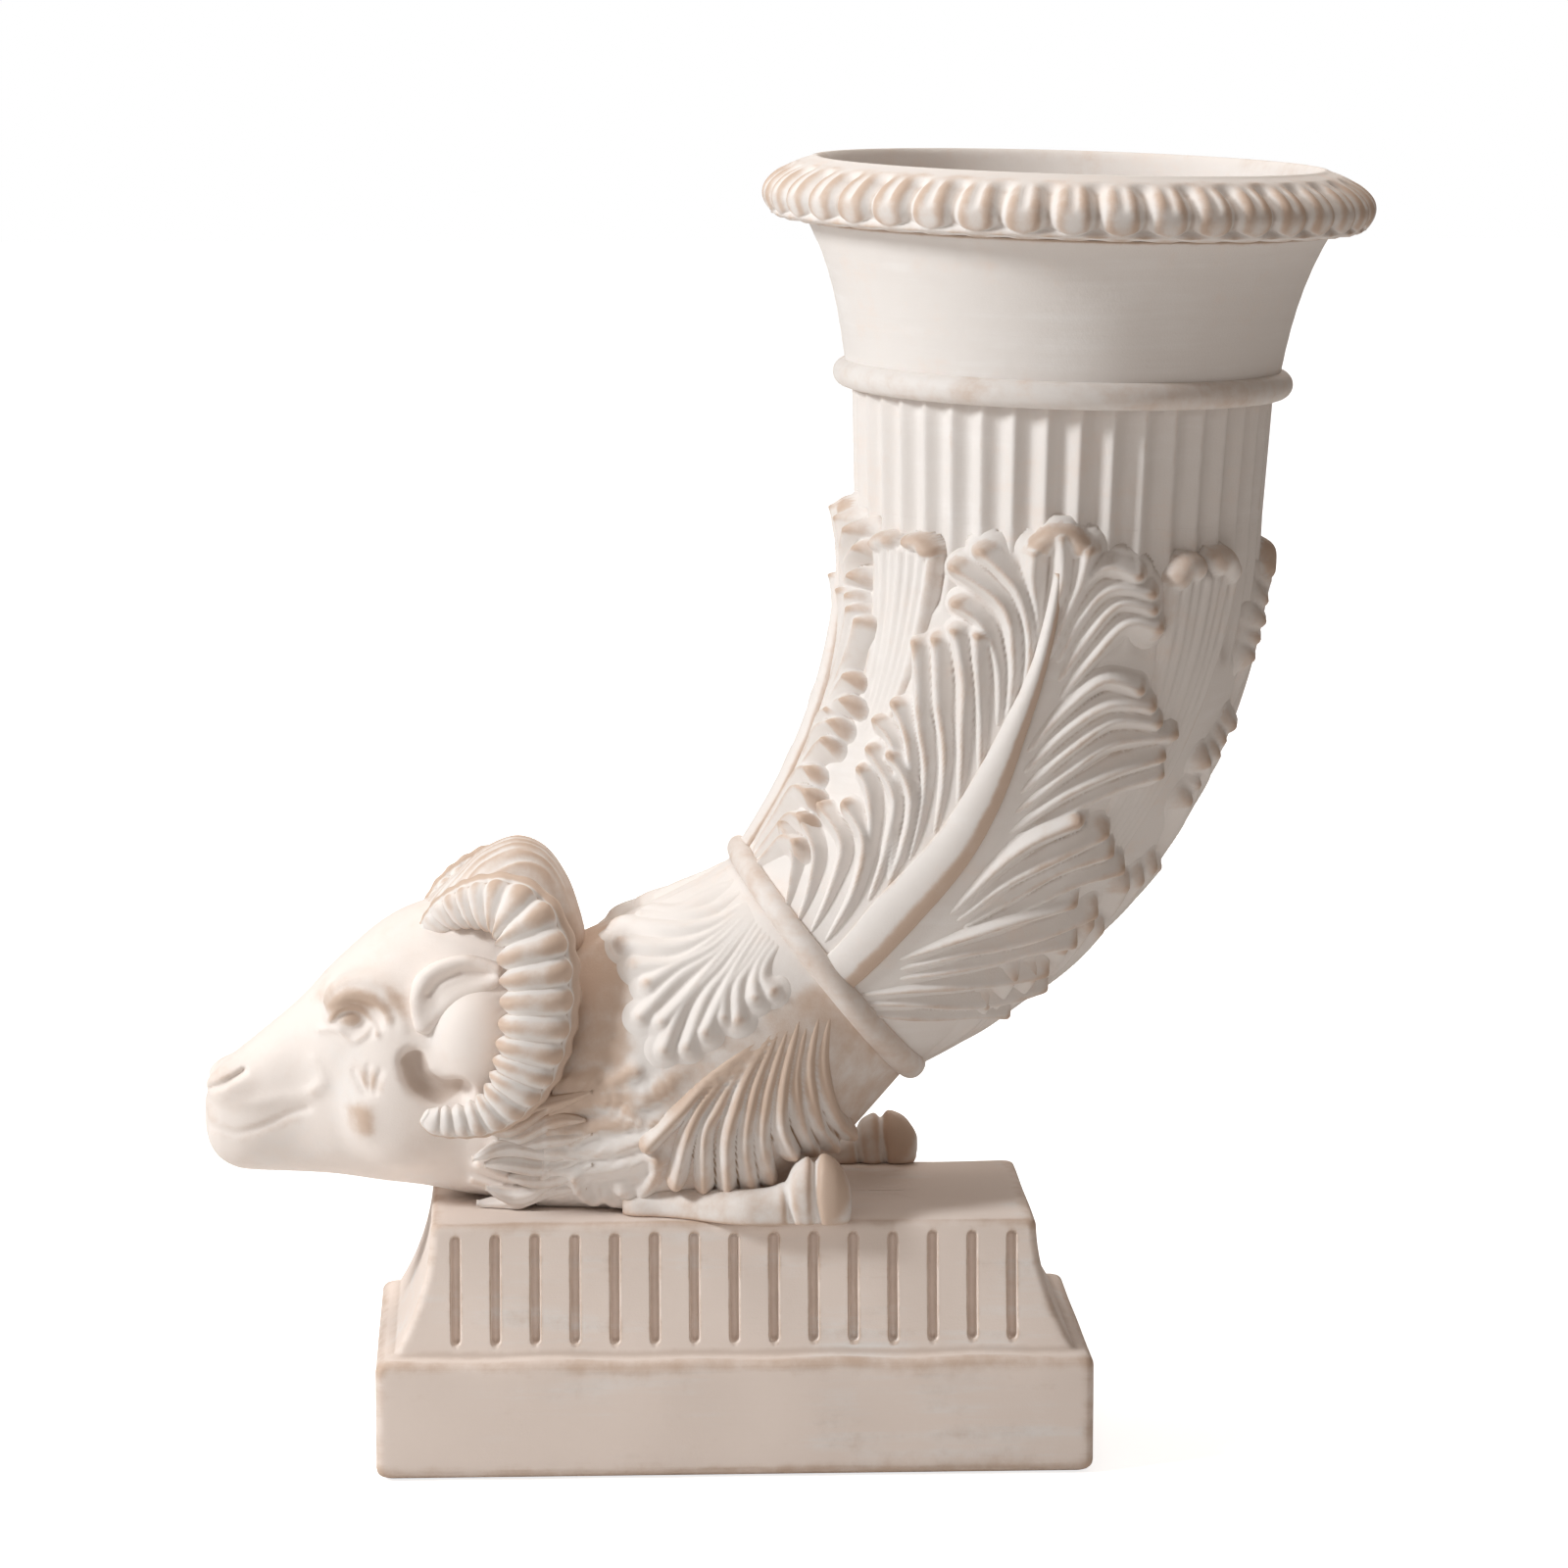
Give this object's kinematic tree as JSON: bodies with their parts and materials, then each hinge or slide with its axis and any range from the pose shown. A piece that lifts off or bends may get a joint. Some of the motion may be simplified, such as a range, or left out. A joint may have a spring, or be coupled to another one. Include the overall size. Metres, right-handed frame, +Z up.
{
  "type": "ram's head rhyton vase",
  "caption": "Horn-shaped ceramic vase with a fluted neck and flared mouth, wrapped in acanthus leaves, ending in a lying ram on a slotted plinth.",
  "frame": {"origin": "centre of the overall box on the surface that the plinth stands on", "axes": "+Z up; +X from the ram's muzzle towards the horn's mouth, along the plinth; +Y to the back"},
  "size_m": [0.3608, 0.188, 0.4007],
  "materials": {
    "vessel_clay": "matt cream wash over fired clay, tan rubbed through on raised edges",
    "leaf_clay": "matt cream wash in the hollows, tan rubbed through on veins and tips",
    "ram_clay": "matt cream wash, tan on muzzle, brow and wool",
    "horn_clay": "matt cream wash, tan on the ribs",
    "plinth_clay": "matt cream wash, brushed along its length, tan on the arrises"
  },
  "bodies": {
    "root": {"acanthus_leaf_back": "leaf_clay", "acanthus_leaf_front": "leaf_clay", "acanthus_leaf_inner": "leaf_clay", "acanthus_leaf_outer": "leaf_clay", "curled_horn_left": "horn_clay", "curled_horn_right": "horn_clay", "ear_left": "ram_clay", "ear_right": "ram_clay", "flared_mouth": "vessel_clay", "fluted_neck": "vessel_clay", "foreleg_left": "ram_clay", "foreleg_right": "ram_clay", "forelock": "ram_clay", "horn_band": "vessel_clay", "horn_vessel": "vessel_clay", "neck_leaf_left": "leaf_clay", "neck_leaf_right": "leaf_clay", "neck_ring": "vessel_clay", "plinth": "plinth_clay", "ram_chest": "ram_clay", "ram_head": "ram_clay", "rim_moulding": "vessel_clay", "shoulder_leaf_left": "leaf_clay", "shoulder_leaf_right": "leaf_clay", "water_leaf_back_inner": "leaf_clay", "water_leaf_back_outer": "leaf_clay", "water_leaf_front_inner": "leaf_clay", "water_leaf_front_outer": "leaf_clay"}
  },
  "joints": []
}
